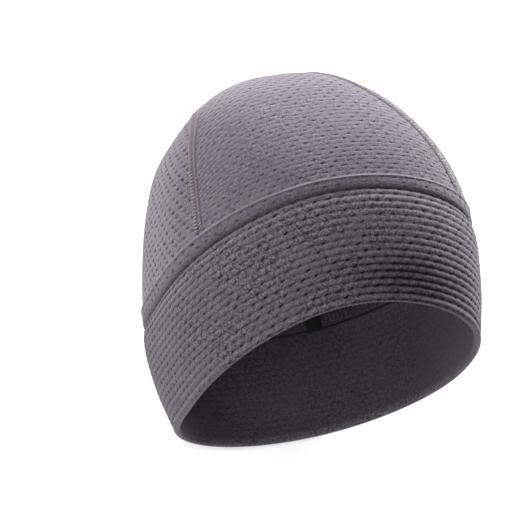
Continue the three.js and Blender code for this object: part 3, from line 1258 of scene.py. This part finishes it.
@dataclass
class Band:
    """The doubled band, folded at the rim."""

    shape: CapShape
    gauge: KnitGauge
    finish: Material
    cells_round: int = 88
    wall: float = 3.2
    tuck: float = 0.9
    top_round: float = 0.7
    first_line: float = 4.2
    fold_fade: float = 1.2
    rows_before: int = 3
    fold_steps: int = 10
    ring_samples: int = 2401
    relief: KnitRelief = KnitRelief(
        pit=0.5, groove=0.3, joint=0.08, swell=0.2, groove_height=0.22, slant=0.9
    )
    inner_relief: KnitRelief = KnitRelief(pit=0.04, groove=0.14, joint=0.03, groove_height=0.25)
    rim_relief: Table = ((0.0, 0.0), (2.4, 0.25), (4.2, -0.25), (6.0, 0.15), (24.0, 0.8))
    top_relief: Table = ((42.0, 0.9), (48.0, 0.75), (51.5, 0.2), (54.0, -0.9), (54.9, -1.9))

    def profile(self) -> tuple[Array, Array, Array, Array]:
        """Section of the band, from the top of its inner face round the rim to its outer top.

        Returns:
            The place in rows, the height, the depth under the outer face and which face it is,
            from -1 on the inner one to 1 on the outer one.
        """
        fold = self.wall / 2
        top = self.shape.band_height + self.tuck
        row = self.gauge.row_height
        inner = self.gauge.steps((fold - top) / row, 0, self.gauge.coarse_rows)
        low = self.rows_before - (self.first_line - fold) / row
        high = self.rows_before + (top - self.first_line) / row
        outer = self.gauge.steps(low, high, self.gauge.fine_rows)
        bend = np.linspace(0, low, self.fold_steps + 1)[1:-1]
        turn = bend / low * math.pi
        face = np.concatenate([-np.ones(len(inner)), np.zeros(len(bend)), np.ones(len(outer))])
        rise = (outer - self.rows_before) * row + self.first_line
        z = np.concatenate([fold - inner * row, fold * (1 - np.sin(turn)), rise])
        side = np.concatenate([-np.ones(len(inner)), -np.cos(turn), np.ones(len(outer))])
        return np.concatenate([inner, bend, outer]), z, fold * (1 - side), face

    def build(self) -> None:
        """Builds and dresses the band."""
        v, z, layer, face = self.profile()
        count = self.cells_round
        u = self.gauge.steps(0, count, self.gauge.fine_columns)
        angle = np.linspace(0, 2 * math.pi, self.ring_samples)
        run = run_along(self.shape.ring_point(angle, self.shape.widest_height))
        angles = np.interp(u * run[-1] / count, run, angle)
        base = self.shape.ring_point(angles[None], z[:, None])
        out = eased_table((*self.rim_relief, *self.top_relief), z)[:, None]
        outer_knit = self.relief.offset(u[None], v[:, None])
        inner_knit = -self.inner_relief.offset(u[None], v[:, None])
        knit = np.where(face[:, None] > 0, outer_knit, np.where(face[:, None] < 0, inner_knit, 0))
        near_fold = smooth_share(z, self.first_line - self.fold_fade, self.first_line)
        closing = smooth_share(z, z.max() - self.top_round, z.max())
        knit = knit * near_fold[:, None] * (1 - closing)[:, None]
        layer = blend(layer, self.wall / 2, closing)[:, None]
        points = self.shape.worn(base, out + knit - layer, layer)
        dress(MeshMaker.grid("band_knit", u, v, points), self.finish, "band_knit", "band")


@dataclass
class SideSeams:
    """The flatlock seams: a flat tape with two rows of looped thread on it."""

    shape: CapShape
    crown: Crown
    tape_finish: Material
    thread_finish: Material
    width: float = 6.4
    thickness: float = 0.2
    rise: float = 0.03
    first_turn: float = math.radians(10.0)
    line_samples: int = 400
    pitch: float = 1.85
    row_offset: float = 1.6
    tape_step: float = 1.2
    tape_cell: float = 1.1
    tape_edge: float = 0.4
    tape_groove: float = 0.5
    tape_heights: tuple[float, ...] = (0.0, 0.6, 1.0, 1.0, 0.9, 1.0, 1.0, 0.6, 0.0, 0.0)
    thread_gap: float = 0.08
    thread_reach: float = 0.8
    thread_half: tuple[float, float] = (0.4, 0.26)
    least_lean: float = 0.2
    more_lean: float = 0.4
    least_half_length: float = 1.2
    more_half_length: float = 0.3
    seed: int = 3

    def line(self, side: float, margin: float, count: int) -> Array:
        """Evenly spaced points of the upright outline along a seam.

        Args:
            side: -1 for the left seam, 1 for the right.
            margin: How far they lie sideways from the seam.
            count: How many points there are.

        Returns:
            The points.
        """
        turn = np.linspace(self.first_turn, math.pi - self.first_turn, self.line_samples)
        dense = self.shape.arc_point(side, turn)
        width = np.linalg.norm(self.shape.arc_point(side, turn, 1.0) - dense, axis=1)
        run = run_along(dense)
        wanted = np.linspace(0, run[-1], count)
        margins = margin / np.interp(wanted, run, width)
        return self.shape.arc_point(side, np.interp(wanted, run, turn), margins)

    def length(self, side: float) -> float:
        """Length of a seam, in millimetres."""
        return float(run_along(self.line(side, 0.0, self.line_samples))[-1])

    def tape(self, side: float, name: str) -> Object:
        """Builds the flat tape under the stitches.

        Args:
            side: -1 for the left seam, 1 for the right.
            name: Name of the object.

        Returns:
            The tape's object.
        """
        count = int(self.length(side) / self.tape_step)
        half = self.width / 2
        margins = [-half, -half, self.tape_edge - half, -self.tape_groove, 0.0]
        margins += [-margin for margin in margins[3::-1]] + [-half]
        lines = []
        for margin, height in zip(margins, self.tape_heights):
            out = self.rise + height * self.thickness
            lines.append(self.crown.skin(self.line(side, margin, count), out))
        points = np.stack(lines, axis=1)
        points[[0, -1]] = points[[0, -1]].mean(axis=1, keepdims=True)
        u = np.array(margins) / self.tape_cell
        return MeshMaker.grid(name, u, np.arange(count) * self.tape_step / self.tape_cell, points)

    def threads(self, side: float, name: str) -> Object:
        """Builds the looped threads: two columns of short slanted stitches.

        Args:
            side: -1 for the left seam, 1 for the right.
            name: Name of the object.

        Returns:
            The threads' object.
        """
        count = int(self.length(side) / self.pitch)
        lift = self.rise + self.thickness + self.thread_gap
        drawn = np.random.default_rng(self.seed).random((2, count))
        places = []
        for column, row in enumerate((-1, 1)):
            centre = self.line(side, row * self.row_offset, count)
            edge = self.line(side, row * (self.row_offset + self.thread_reach), count)
            middle = self.crown.skin(centre, lift)
            outer = self.crown.skin(edge, lift)
            along = np.gradient(middle, axis=0)
            along /= np.linalg.norm(along, axis=1, keepdims=True)
            across = outer - middle
            across /= np.linalg.norm(across, axis=1, keepdims=True)
            up = np.cross(along, across)
            up *= np.sign((up * (middle - middle.mean(axis=0))).sum(axis=1, keepdims=True))
            for i in range(count):
                share = drawn[column, i]
                way = across[i] + along[i] * (self.least_lean + self.more_lean * share)
                size = (self.least_half_length + self.more_half_length * share, *self.thread_half)
                places.append(MeshMaker.stitch_place(middle[i], way, up[i], size))
        return MeshMaker.stitches(name, places)

    def build(self) -> None:
        """Builds and dresses both seams."""
        for side, word in ((-1, "left"), (1, "right")):
            tape = self.tape(side, f"seam_tape_{word}")
            dress(tape, self.tape_finish, "seam_thread", f"side_seam_{word}")
            threads = self.threads(side, f"seam_threads_{word}")
            dress(threads, self.thread_finish, "seam_thread")


@dataclass
class SeamAllowance:
    """The turned-up edge inside the crown, bound with overlocked thread."""

    shape: CapShape
    crown: Crown
    finish: Material
    thread_finish: Material
    gap: float = 0.6
    thickness: float = 1.2
    bottom: float = 1.4
    top: float = 10.0
    corner: float = 0.4
    middle_lines: tuple[float, ...] = (4.0, 6.0, 8.0)
    ring_columns: int = 361
    ring_samples: int = 1201
    cells_round: int = 88
    row_height: float = 2.2
    pitch: float = 2.5
    ring_height: float = 60.0
    thread_lift: float = 0.15
    thread_inset: float = 1.2
    thread_lean: float = 0.4
    cross_thread: tuple[float, float] = (0.28, 0.22)
    high_thread: Triple = (1.3, 0.3, 0.26)
    low_thread: Triple = (1.3, 0.26, 0.22)

    def section(self) -> tuple[Array, Array]:
        """Closed section of the edge.

        Returns:
            Heights above the band and depths under the crown's outer face.
        """
        near = self.crown.wall + self.gap
        far = near + self.thickness
        middle = (near + far) / 2
        rise = [self.bottom, self.bottom + self.corner, *self.middle_lines]
        rise += [self.top - self.corner, self.top]
        between = len(rise) - 2
        depths = [middle, *[near] * between, middle, *[far] * between, middle]
        return np.array(rise + rise[-2::-1]), np.array(depths)

    def build(self) -> None:
        """Builds and dresses the edge and its thread loops."""
        heights, depths = self.section()
        angle = np.linspace(0, 2 * math.pi, self.ring_columns)
        base = self.shape.ring_point(angle[None], self.shape.band_height + heights[:, None])
        points = self.crown.skin(base, 0.0, depths[:, None])
        u = angle / (2 * math.pi) * self.cells_round
        edge = MeshMaker.grid("allowance_knit", u, heights / self.row_height, points)
        dress(edge, self.finish, "inner_knit", "seam_allowance")
        dress(self.loops(), self.thread_finish, "inner_knit")

    def loops(self) -> Object:
        """Builds the overlocked thread: slanted stitches round the edge's inner face.

        Returns:
            The threads' object.
        """
        turn = np.linspace(0, 2 * math.pi, self.ring_samples)
        ring = self.shape.ring_point(turn, self.ring_height)
        count = int(run_along(ring)[-1] / self.pitch)
        angle = np.linspace(0, 2 * math.pi, count, endpoint=False)
        depth = self.crown.wall + self.gap + self.thickness + self.thread_lift
        places = []
        rows = []
        for height in (self.bottom + self.thread_inset, self.top - self.thread_inset):
            base = self.shape.ring_point(angle, self.shape.band_height + height)
            rows.append(self.crown.skin(base, 0.0, depth))
        low, high = rows
        along = np.gradient(low, axis=0)
        for i in range(count):
            lean = high[i] - low[i] + along[i] * self.thread_lean
            out = np.cross(along[i], lean)
            middle = (low[i] + high[i]) / 2
            size = (np.linalg.norm(lean) / 2 / MILLIMETRE, *self.cross_thread)
            places.append(MeshMaker.stitch_place(middle, lean, out, size))
            places.append(MeshMaker.stitch_place(high[i], along[i], out, self.high_thread))
            places.append(MeshMaker.stitch_place(low[i], along[i], out, self.low_thread))
        return MeshMaker.stitches("allowance_threads", places)


@dataclass
class InnerLabel:
    """The blank loop label at the back of the inside."""

    shape: CapShape
    finish: Material
    x: float = 24.0
    width: float = 8.0
    bottom: float = 52.6
    top: float = 62.0
    depth: float = 3.7
    thickness: float = 0.6
    columns: tuple[float, ...] = (1, 0.9, 0.5, 0, -0.5, -0.9, -1)
    lines: int = 9

    def build(self) -> None:
        """Builds and dresses the label."""
        near, far = self.depth, self.depth + self.thickness
        middle = (near + far) / 2
        up = np.linspace(self.bottom, self.top, self.lines)
        z = np.concatenate([up, up[-2::-1]])
        between = self.lines - 2
        depth = np.array([middle, *[near] * between, middle, *[far] * between, middle])
        x = self.x + self.width / 2 * np.array(self.columns)
        angle = np.arccos(x / self.shape.half_width)
        base = self.shape.ring_point(angle[None], z[:, None])
        layer = np.broadcast_to(depth[:, None], base.shape[:2]).copy()
        layer[:, [0, -1]] = middle
        points = self.shape.worn(base, -layer, layer)
        made = MeshMaker.grid("label_tape", x, z, points)
        dress(made, self.finish, "label_tape", "inner_label")


class Hold(Enum):
    """How a sheet of cloth is held."""

    STRETCHED = "stretched"
    FOLDED = "folded"


@dataclass(frozen=True)
class Cut:
    """A piece of cloth as it was cut, its flat size in metres and its area in square metres."""

    piece: str
    flat: tuple[float, float]
    area: float
    hold: Hold
    sewn_on: tuple[str, ...] = ()

    def declare(self) -> None:
        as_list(self.sewn_on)


class LampShape(Enum):
    """Outlines of a studio lamp."""

    PANEL = "SQUARE"
    ROUND = "DISK"


@dataclass(frozen=True)
class LampRing:
    """Soft lamps at one height round the cap, each with its angle in degrees and its power."""

    name: str
    elevation: float
    size: float
    lamps: Table
    outline: LampShape = LampShape.PANEL

    def build(self, aim: Vector, distance: float) -> None:
        """Puts the lamps into the scene.

        Args:
            aim: Where they point.
            distance: How far away they stand.
        """
        for azimuth, power in self.lamps:
            name = f"lamp_{self.name}_{azimuth}"
            data = bpy.data.lights.new(name, "AREA")
            data.shape = self.outline.value
            data.size = self.size
            data.energy = power
            back = Vector(toward(math.radians(azimuth), math.radians(self.elevation)))
            lamp = placed(name, data)
            lamp.visible_camera = False
            lamp.location = aim + back * distance
            lamp.rotation_mode = "QUATERNION"
            lamp.rotation_quaternion = (-back).to_track_quat("-Z", "Y")


LAMP_RINGS = (
    LampRing("floor", 2, 0.2, ((90, 5.1), (135, 62.0), (180, 9.3), (270, 1.7))),
    LampRing(
        "low",
        9,
        0.35,
        ((120, 2.9), (180, 23.5), (210, 1.1), (240, 2.8), (270, 2.2), (300, 6.2)),
    ),
    LampRing("middle", 28, 0.6, ((180, 12.0), (210, 6.6), (240, 3.9), (270, 2.3), (300, 6.3))),
    LampRing("high", 52, 0.8, ((0, 4.0), (180, 3.5), (315, 1.8))),
    LampRing("over", 78, 0.9, ((0, 6.4), (90, 3.6), (180, 2.1), (270, 2.9)), LampShape.ROUND),
)


@dataclass
class Studio:
    """The camera, the pale floor and the soft light."""

    shape: CapShape
    turn: float = -0.254
    rise: float = -0.255
    roll: float = 0.203
    distance: float = 2437.5
    scale: float = 2.057
    target: Triple = (0.0, 0.0, 78.0)
    target_in_picture: tuple[float, float] = (294.1, 230.2)
    picture_side: float = 520.0
    sensor: float = 36.0
    clipping: tuple[float, float] = (0.1, 50.0)
    floor_side: float = 12.0
    sky: Triple = (1.0, 1.0, 1.0)
    sky_strength: float = 0.02
    lamp_aim: Triple = (0.0, 0.0, 0.09)
    lamp_distance: float = 1.4

    def camera(self) -> None:
        """Builds the camera at the angle at which the cap was photographed."""
        back = toward(self.turn, self.rise)
        right = np.array([math.cos(self.turn), math.sin(self.turn), 0.0])
        up = np.cross(back, right)
        image_right = math.cos(self.roll) * right - math.sin(self.roll) * up
        image_up = math.sin(self.roll) * right + math.cos(self.roll) * up
        half = self.picture_side / 2
        slide = (
            image_right * (half - self.target_in_picture[0])
            + image_up * (self.target_in_picture[1] - half)
        ) / self.scale
        eye = np.array(self.target) + slide + back * self.distance
        axes = np.stack([image_right, image_up, back])
        turned = (self.shape.laid(axes) - self.shape.laid(np.zeros(3))) / MILLIMETRE
        data = bpy.data.cameras.new("camera")
        data.sensor_width = self.sensor
        data.lens = self.scale * self.distance * self.sensor / self.picture_side
        data.clip_start, data.clip_end = self.clipping
        camera = placed("camera", data)
        camera.matrix_world = (
            Matrix.Translation(Vector(self.shape.laid(eye)))
            @ Matrix([Vector(axis) for axis in turned]).transposed().to_4x4()
        )
        bpy.context.scene.camera = camera

    def floor(self) -> None:
        """Builds the floor."""
        flat = bmesh.new()
        bmesh.ops.create_grid(flat, x_segments=1, y_segments=1, size=self.floor_side / 2)
        floor = MeshMaker.finished(flat, bpy.data.meshes.new("floor"))
        floor.data.materials.append(FloorFinish().material())

    def build(self) -> None:
        """Builds the camera, the floor, the sky and the lamps."""
        self.camera()
        self.floor()
        world = bpy.data.worlds.new("soft_sky")
        world.use_nodes = True
        background = world.node_tree.nodes["Background"]
        background.inputs["Color"].default_value = (*self.sky, 1.0)
        background.inputs["Strength"].default_value = self.sky_strength
        bpy.context.scene.world = world
        bpy.context.scene.view_settings.view_transform = "Standard"
        for ring in LAMP_RINGS:
            ring.build(Vector(self.lamp_aim), self.lamp_distance)


def main() -> None:
    """Builds the beanie and its studio, and reports each piece."""
    logging.basicConfig(level=logging.INFO, format="%(name)s: %(message)s")
    shape, gauge = CapShape(), KnitGauge()
    crown_finish = KnitFinish(
        "crown_merino",
        light=(0.070, 0.062, 0.078),
        dark=(0.030, 0.026, 0.034),
        warm=(0.061, 0.047, 0.061),
        # Painted shade in the crease at the foot of the crown.
        painted_crease_shade=0.3,
        crease_width=0.5,
        # Painted highlight along the ridge of the turned edge.
        ridge_row=Crown.ridge_height / gauge.row_height,
        ridge_highlight=0.6,
    )
    crown_knit = crown_finish.material()
    side_knit = replace(
        crown_finish, name="side_merino", pit_shade=1.0, pit_length=0.17, pit_height=0.2, slant=0.7
    ).material()
    band_knit = KnitFinish(
        "band_merino",
        light=(0.092, 0.079, 0.098),
        dark=(0.022, 0.019, 0.024),
        warm=(0.060, 0.050, 0.062),
        pit_shade=1.0,
        pit_length=0.18,
        pit_height=0.18,
        groove_shade=0.34,
        joint_shade=0.4,
        slant=0.9,
        rows_start=1.4,
        # Below this row the band's inner face is painted darker and more violet: painted shade.
        inside_ends=-0.6,
        # Painted shade in the crease at the top of the band.
        crease_row=18.0,
        painted_crease_shade=0.35,
        crease_width=0.6,
        # Painted shadow on a patch low on the band.
        shadow_cell=71.0,
        shadow_row=5.0,
        painted_shadow=0.85,
    ).material()
    inner_knit = KnitFinish(
        "inner_merino",
        light=(0.045, 0.038, 0.050),
        dark=(0.022, 0.019, 0.026),
        warm=(0.036, 0.029, 0.039),
        pit_shade=0.2,
        groove_shade=0.2,
    ).material()
    ground = ThreadFinish("seam_ground", (0.034, 0.027, 0.031), (0.014, 0.011, 0.012))
    thread = ThreadFinish("seam_thread", (0.150, 0.120, 0.139), (0.085, 0.067, 0.079))
    pale_thread = ThreadFinish("overlock_thread", (0.080, 0.072, 0.077), (0.020, 0.018, 0.020))
    tape = TapeFinish("label_weave", (0.006, 0.005, 0.007), (0.002, 0.002, 0.003))
    crown = Crown(shape, gauge, crown_knit, side_knit)
    crown.build()
    Band(shape, gauge, band_knit).build()
    SideSeams(shape, crown, ground.material(), thread.material()).build()
    SeamAllowance(shape, crown, inner_knit, pale_thread.material()).build()
    InnerLabel(shape, tape.material()).build()
    Studio(shape).build()
    sewn_on = ("seam_tape_left", "seam_threads_left", "seam_tape_right", "seam_threads_right")
    inside = ("allowance_knit", "allowance_threads")
    cuts = (
        Cut("crown_centre_knit", (0.136, 0.304), 0.0290, Hold.STRETCHED, sewn_on),
        Cut("crown_left_knit", (0.142, 0.095), 0.0112, Hold.STRETCHED),
        Cut("crown_right_knit", (0.142, 0.121), 0.0157, Hold.STRETCHED),
        Cut("band_knit", (0.570, 0.058), 0.0330, Hold.FOLDED, (*inside, "label_tape")),
    )
    for cut in cuts:
        cut.declare()


if __name__ == "__main__":
    main()
